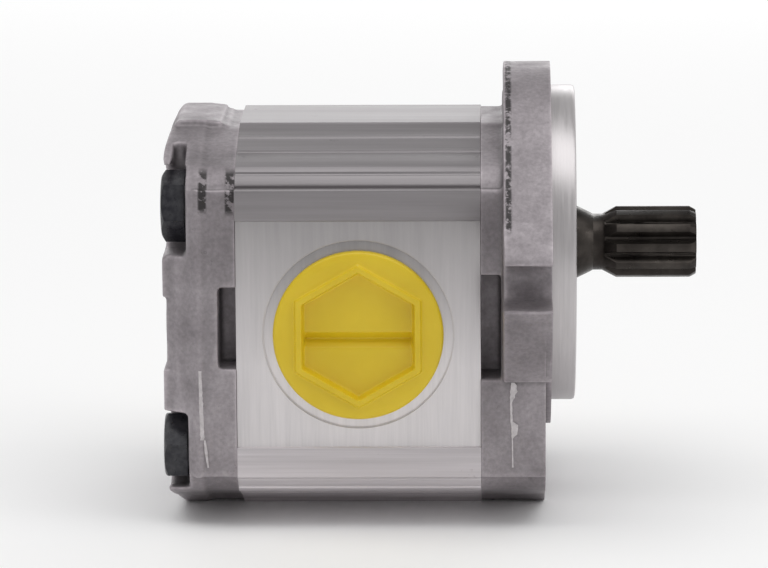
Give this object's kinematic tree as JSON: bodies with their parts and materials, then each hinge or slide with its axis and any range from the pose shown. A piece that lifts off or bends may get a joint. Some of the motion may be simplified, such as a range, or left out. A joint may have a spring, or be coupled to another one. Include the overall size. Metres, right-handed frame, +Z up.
{
  "type": "hydraulic gear pump",
  "caption": "External gear pump: extruded body between cast covers, two-bolt flange with pilot, splined drive shaft, side ports closed with shipping plugs.",
  "frame": {"origin": "on the drive shaft's axis, in the plane of the flange's mounting face", "axes": "+X along the drive shaft, out of the pump; +Z up, from the driven gear towards the drive gear; -Y out of the inlet port"},
  "size_m": [0.1374, 0.1298, 0.1139],
  "materials": {
    "extruded_aluminium": "extruded and machined, bare",
    "cast_aluminium": "die cast, bare, dull",
    "shaft_steel": "case hardened and oiled, dark",
    "bolt_steel": "black oxide with zinc flake, satin",
    "bright_steel": "bright",
    "bearing_bronze": "sliding bearing bronze",
    "black_rubber": "nitrile, matte",
    "white_plastic": "filled PTFE, matte",
    "yellow_plastic": "moulded polyethylene, satin"
  },
  "bodies": {
    "housing": {"pump_body": "extruded_aluminium", "front_body_seal": "black_rubber", "rear_body_seal": "black_rubber", "rear_cover": "cast_aluminium", "front_cover": "cast_aluminium", "front_bearing_block": "extruded_aluminium", "front_pressure_seal": "black_rubber", "front_backup_ring": "white_plastic", "front_bush_drive": "bearing_bronze", "front_bush_driven": "bearing_bronze", "rear_bearing_block": "extruded_aluminium", "rear_pressure_seal": "black_rubber", "rear_backup_ring": "white_plastic", "rear_bush_drive": "bearing_bronze", "rear_bush_driven": "bearing_bronze", "shaft_seal": "black_rubber", "shaft_seal_spring": "bright_steel", "inner_shaft_seal": "black_rubber", "inner_seal_spring": "bright_steel", "seal_spacer": "bright_steel", "seal_retaining_ring": "bolt_steel", "cover_bolt_1": "bolt_steel", "cover_bolt_2": "bolt_steel", "cover_bolt_3": "bolt_steel", "cover_bolt_4": "bolt_steel", "front_dowel_1": "bright_steel", "front_dowel_2": "bright_steel", "rear_dowel_1": "bright_steel", "rear_dowel_2": "bright_steel"},
    "drive_shaft": {"drive_gear": "shaft_steel"},
    "driven_shaft": {"driven_gear": "shaft_steel"},
    "inlet_seal": {"inlet_plug_seal": "black_rubber"},
    "inlet_plug": {"inlet_plug": "yellow_plastic"},
    "outlet_seal": {"outlet_plug_seal": "black_rubber"},
    "outlet_plug": {"outlet_plug": "yellow_plastic"}
  },
  "joints": [
    {"name": "drive_shaft_spin", "type": "hinge", "parent": "housing", "child": "drive_shaft", "pos_m": [0, 0, 0], "axis": [1, 0, 0], "continuous": true},
    {"name": "driven_gear_spin", "type": "hinge", "parent": "housing", "child": "driven_shaft", "pos_m": [0, 0, -0.031], "axis": [1, 0, 0], "continuous": true},
    {"name": "inlet_plug_travel", "type": "slide", "parent": "housing", "child": "inlet_seal", "axis": [0, -1, 0], "range_m": [0, 0.01693]},
    {"name": "inlet_plug_turn", "type": "hinge", "parent": "inlet_seal", "child": "inlet_plug", "pos_m": [-0.04915, -0.045, -0.0155], "axis": [0, -1, 0], "range_deg": [0, 2880]},
    {"name": "outlet_plug_travel", "type": "slide", "parent": "housing", "child": "outlet_seal", "axis": [0, 1, 0], "range_m": [0, 0.01693]},
    {"name": "outlet_plug_turn", "type": "hinge", "parent": "outlet_seal", "child": "outlet_plug", "pos_m": [-0.04915, 0.045, -0.0155], "axis": [0, 1, 0], "range_deg": [0, 2880]}
  ],
  "couplings": [
    {"joint": "driven_gear_spin", "follows": "drive_shaft_spin", "ratio": -1},
    {"joint": "inlet_plug_travel", "follows": "inlet_plug_turn", "m_per_rad": 0.00033688},
    {"joint": "outlet_plug_travel", "follows": "outlet_plug_turn", "m_per_rad": 0.00033688}
  ]
}
